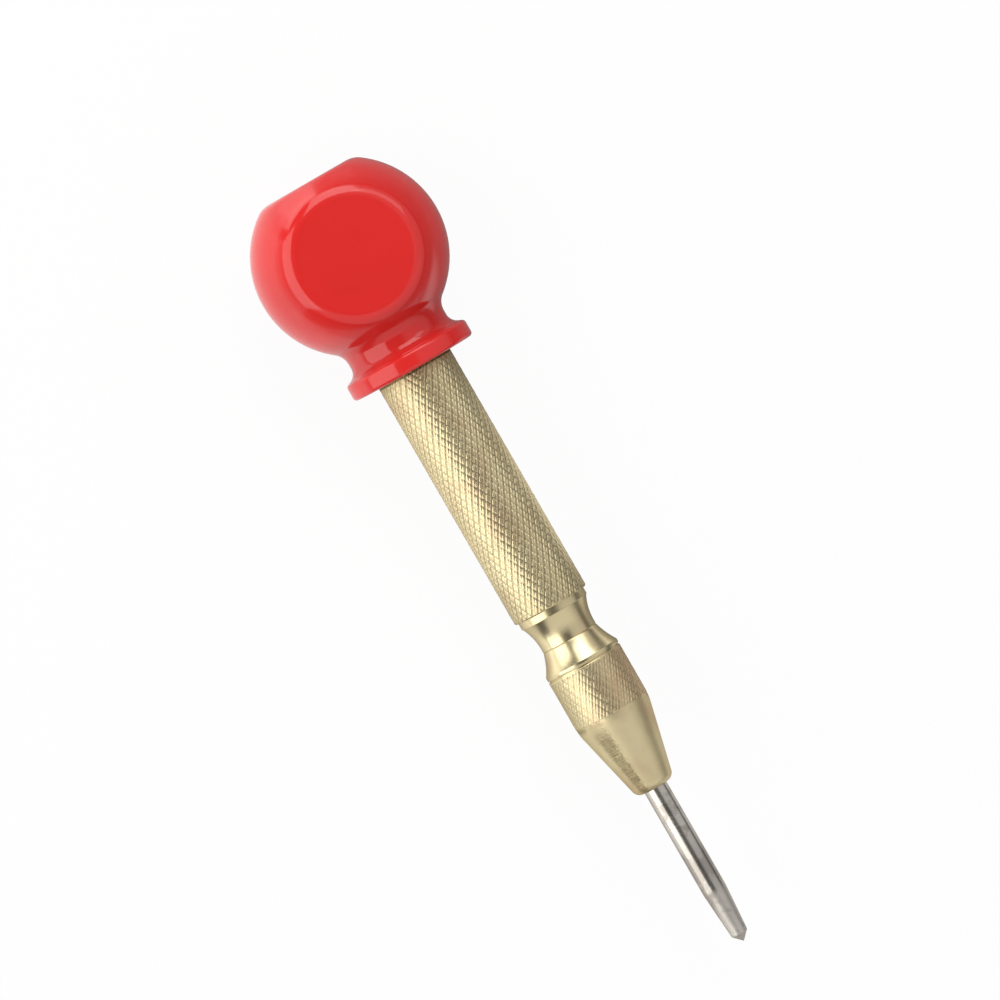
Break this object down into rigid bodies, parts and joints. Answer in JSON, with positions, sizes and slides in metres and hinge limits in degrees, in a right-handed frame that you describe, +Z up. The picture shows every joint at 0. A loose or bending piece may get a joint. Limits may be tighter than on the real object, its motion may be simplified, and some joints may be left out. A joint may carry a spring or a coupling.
{
  "type": "centre punch",
  "caption": "Automatic centre punch: ground steel point in a tapered knurled brass nose and barrel, with an internal hammer, springs and trip rod, and a red ball cap that sets the blow.",
  "frame": {"origin": "centre of the tool's length and width, on the plane of the ball's lower side flat, which is the surface it lies on; the tool's axis is 13 mm above it", "axes": "+X along the tool's axis from the point to the palm flat, +Z up and square to the side flats, +Y completes the right-handed frame"},
  "size_m": [0.15, 0.0342, 0.026],
  "materials": {
    "ground_steel": "ground bright, satin on the taper",
    "brass": "turned and polished, pale gold",
    "knurled_brass": "diamond knurled, bright crests",
    "hardened_steel": "hardened, dark grey",
    "spring_steel": "oiled spring wire",
    "zinc_plated_steel": "bright zinc plate",
    "red_plastic": "high gloss"
  },
  "bodies": {
    "barrel": {"barrel": "knurled_brass", "nose": "brass", "main_spring": "spring_steel", "trip_spring": "spring_steel"},
    "punch": {"punch_point": "ground_steel"},
    "trip_rod": {"trip_rod": "hardened_steel"},
    "hammer": {"hammer": "hardened_steel"},
    "spring_seat": {"spring_seat": "hardened_steel"},
    "cap": {"ball_cap": "red_plastic", "adjusting_screw": "zinc_plated_steel"}
  },
  "joints": [
    {"name": "punch_press", "type": "slide", "parent": "barrel", "child": "punch", "axis": [1, 0, 0], "range_m": [0, 0.0085], "stiffness_N_per_m": 600, "springref_m": -0.004, "deforming": ["trip_spring"]},
    {"name": "rod_upright", "type": "hinge", "parent": "punch", "child": "trip_rod", "pos_m": [-0.02697, 0, 0.013], "axis": [0, -1, 0], "range_deg": [0, 1.5]},
    {"name": "hammer_lift", "type": "slide", "parent": "barrel", "child": "hammer", "axis": [1, 0, 0], "range_m": [0, 0.0085], "stiffness_N_per_m": 12000, "springref_m": -0.004, "deforming": ["main_spring"]},
    {"name": "preload_travel", "type": "slide", "parent": "barrel", "child": "spring_seat", "axis": [-1, 0, 0], "range_m": [-0.002, 0.002], "deforming": ["main_spring"]},
    {"name": "knob_turn", "type": "hinge", "parent": "spring_seat", "child": "cap", "pos_m": [0.0604, 0, 0.013], "axis": [-1, 0, 0], "range_deg": [-720, 720]}
  ],
  "couplings": [
    {"joint": "hammer_lift", "follows": "punch_press", "ratio": 1},
    {"joint": "rod_upright", "follows": "punch_press", "rad_per_m": 3.0595},
    {"joint": "preload_travel", "follows": "knob_turn", "m_per_rad": 0.00015915}
  ]
}
